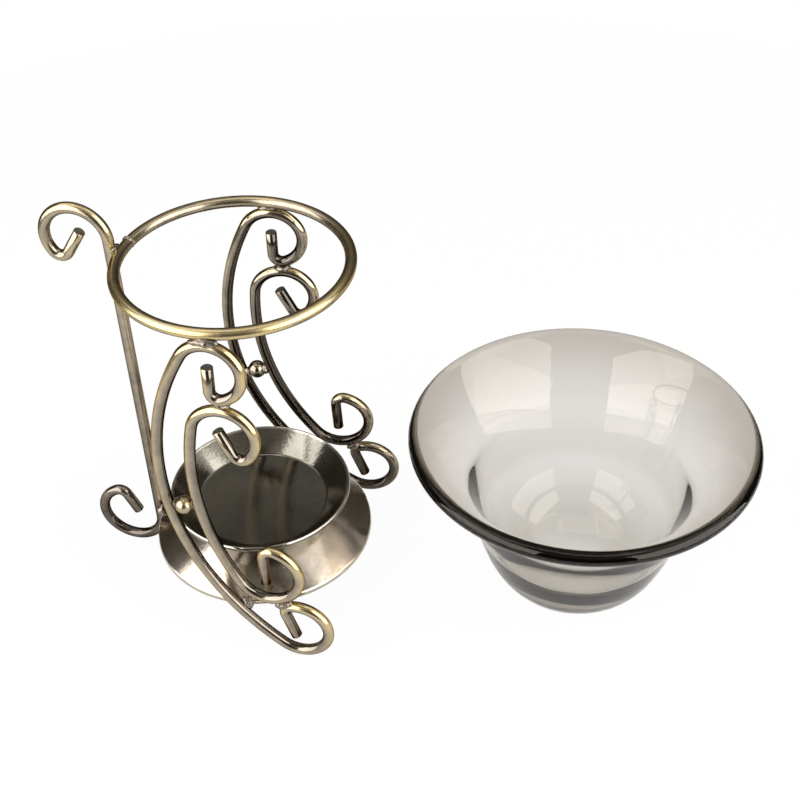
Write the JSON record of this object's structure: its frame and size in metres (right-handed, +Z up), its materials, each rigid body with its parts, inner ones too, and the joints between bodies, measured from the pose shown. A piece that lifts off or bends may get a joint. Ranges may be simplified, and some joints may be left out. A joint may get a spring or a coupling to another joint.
{
  "type": "essential oil lamp",
  "caption": "Scrolled wire stand with a ring for a loose flared glass bowl and a raised spun dish for the tealight that warms scented oil.",
  "frame": {"origin": "under the middle of the whole set, on the surface that it stands on", "axes": "+X from the stand towards the bowl, the way the feet point; +Z up; +Y to the far side frame"},
  "size_m": [0.218, 0.109, 0.1357],
  "materials": {
    "wire": "round steel wire with a worn antique brass tone, satin",
    "weld": "small weld beads plated with the wire, duller",
    "cup": "spun sheet steel, dark polished plating",
    "glass": "thick clear glass with a slight grey tint, polished"
  },
  "bodies": {
    "stand": {"bowl_ring": "wire", "rear_leg": "wire", "near_outer_scroll": "wire", "near_inner_scroll": "wire", "near_ball": "wire", "far_outer_scroll": "wire", "far_inner_scroll": "wire", "far_ball": "wire", "ring_butt_weld": "weld", "rear_ring_weld": "weld", "rear_skirt_weld": "weld", "near_ring_weld": "weld", "near_top_curl_weld": "weld", "near_foot_curl_weld": "weld", "near_outer_ball_weld": "weld", "near_inner_ball_weld": "weld", "near_skirt_weld": "weld", "far_ring_weld": "weld", "far_top_curl_weld": "weld", "far_foot_curl_weld": "weld", "far_outer_ball_weld": "weld", "far_inner_ball_weld": "weld", "far_skirt_weld": "weld", "tealight_dish": "cup", "cup_skirt": "cup"},
    "bowl": {"glass_bowl": "glass"}
  },
  "joints": [
    {"name": "bowl_lift", "type": "slide", "parent": "stand", "child": "bowl", "axis": [0, 0, 1], "range_m": [0, 0.14]}
  ]
}
